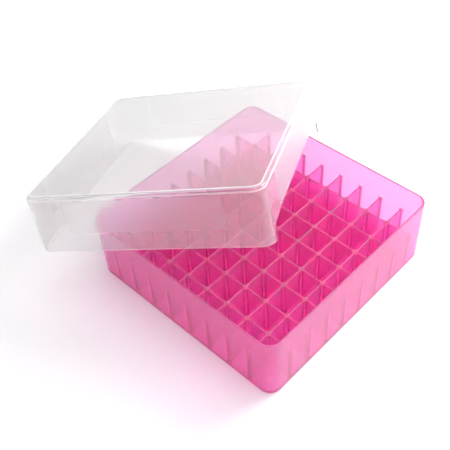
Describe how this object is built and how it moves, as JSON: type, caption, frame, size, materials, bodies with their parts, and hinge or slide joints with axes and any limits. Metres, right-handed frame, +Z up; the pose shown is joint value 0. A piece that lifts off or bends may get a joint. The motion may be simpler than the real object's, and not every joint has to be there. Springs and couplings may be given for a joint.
{
  "type": "cryogenic storage box",
  "caption": "Square freezer box for small tubes: a clear-tinted tray with a grid of square cells and a loose, milky lid leaning on it.",
  "frame": {"origin": "centre of the tray's underside, on the plane that the box stands on", "axes": "+Z up; +X and +Y are the outward normals of two neighbouring tray walls; the lid leans over the -X side"},
  "size_m": [0.2129, 0.1808, 0.0903],
  "materials": {
    "tray_plastic": "clear-tinted pink moulded polypropylene, satin gloss",
    "lid_plastic": "natural, slightly milky moulded polypropylene with frosted writing panels"
  },
  "bodies": {
    "tray": {"tray_shell": "tray_plastic", "divider_x_1": "tray_plastic", "divider_x_2": "tray_plastic", "divider_x_3": "tray_plastic", "divider_x_4": "tray_plastic", "divider_x_5": "tray_plastic", "divider_x_6": "tray_plastic", "divider_x_7": "tray_plastic", "divider_x_8": "tray_plastic", "divider_y_1": "tray_plastic", "divider_y_2": "tray_plastic", "divider_y_3": "tray_plastic", "divider_y_4": "tray_plastic", "divider_y_5": "tray_plastic", "divider_y_6": "tray_plastic", "divider_y_7": "tray_plastic", "divider_y_8": "tray_plastic"},
    "lid": {"lid": "lid_plastic"}
  },
  "joints": [
    {"name": "lid_lift", "type": "slide", "parent": "tray", "child": "lid", "axis": [0, 0, 1], "range_m": [0, 0.06]}
  ]
}
